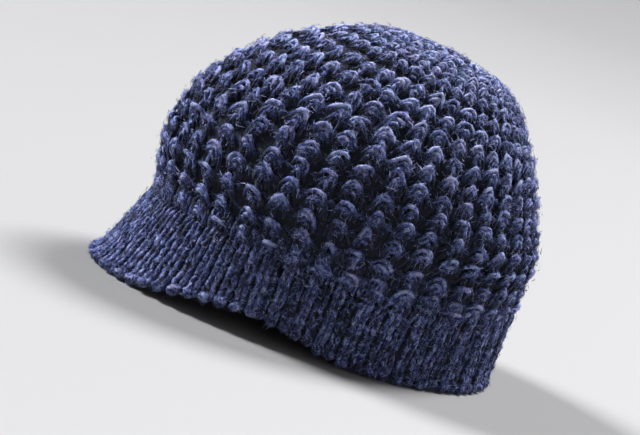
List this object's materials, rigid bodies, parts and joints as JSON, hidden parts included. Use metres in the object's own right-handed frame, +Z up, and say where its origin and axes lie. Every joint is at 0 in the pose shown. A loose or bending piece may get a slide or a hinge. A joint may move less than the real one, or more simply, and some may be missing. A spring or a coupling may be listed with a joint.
{
  "type": "knitted visor beanie",
  "caption": "Chunky knitted beanie with a waffle-stitch crown, a ribbed band and a short flared ribbed visor, hollow for a head.",
  "frame": {"origin": "on the surface that the hat stands on, under the middle of the whole hat", "axes": "+Z up, the visor points to -Y, the wearer's left is +X"},
  "size_m": [0.1854, 0.2242, 0.1633],
  "materials": {
    "waffle_knit": "heathered navy wool, raised waffle stitch",
    "rib_knit": "heathered navy wool, ribbed",
    "visor_knit": "heathered navy wool, ribbed, knitted double"
  },
  "bodies": {
    "root": {"crown": "waffle_knit", "band": "rib_knit", "visor": "visor_knit"}
  },
  "joints": []
}
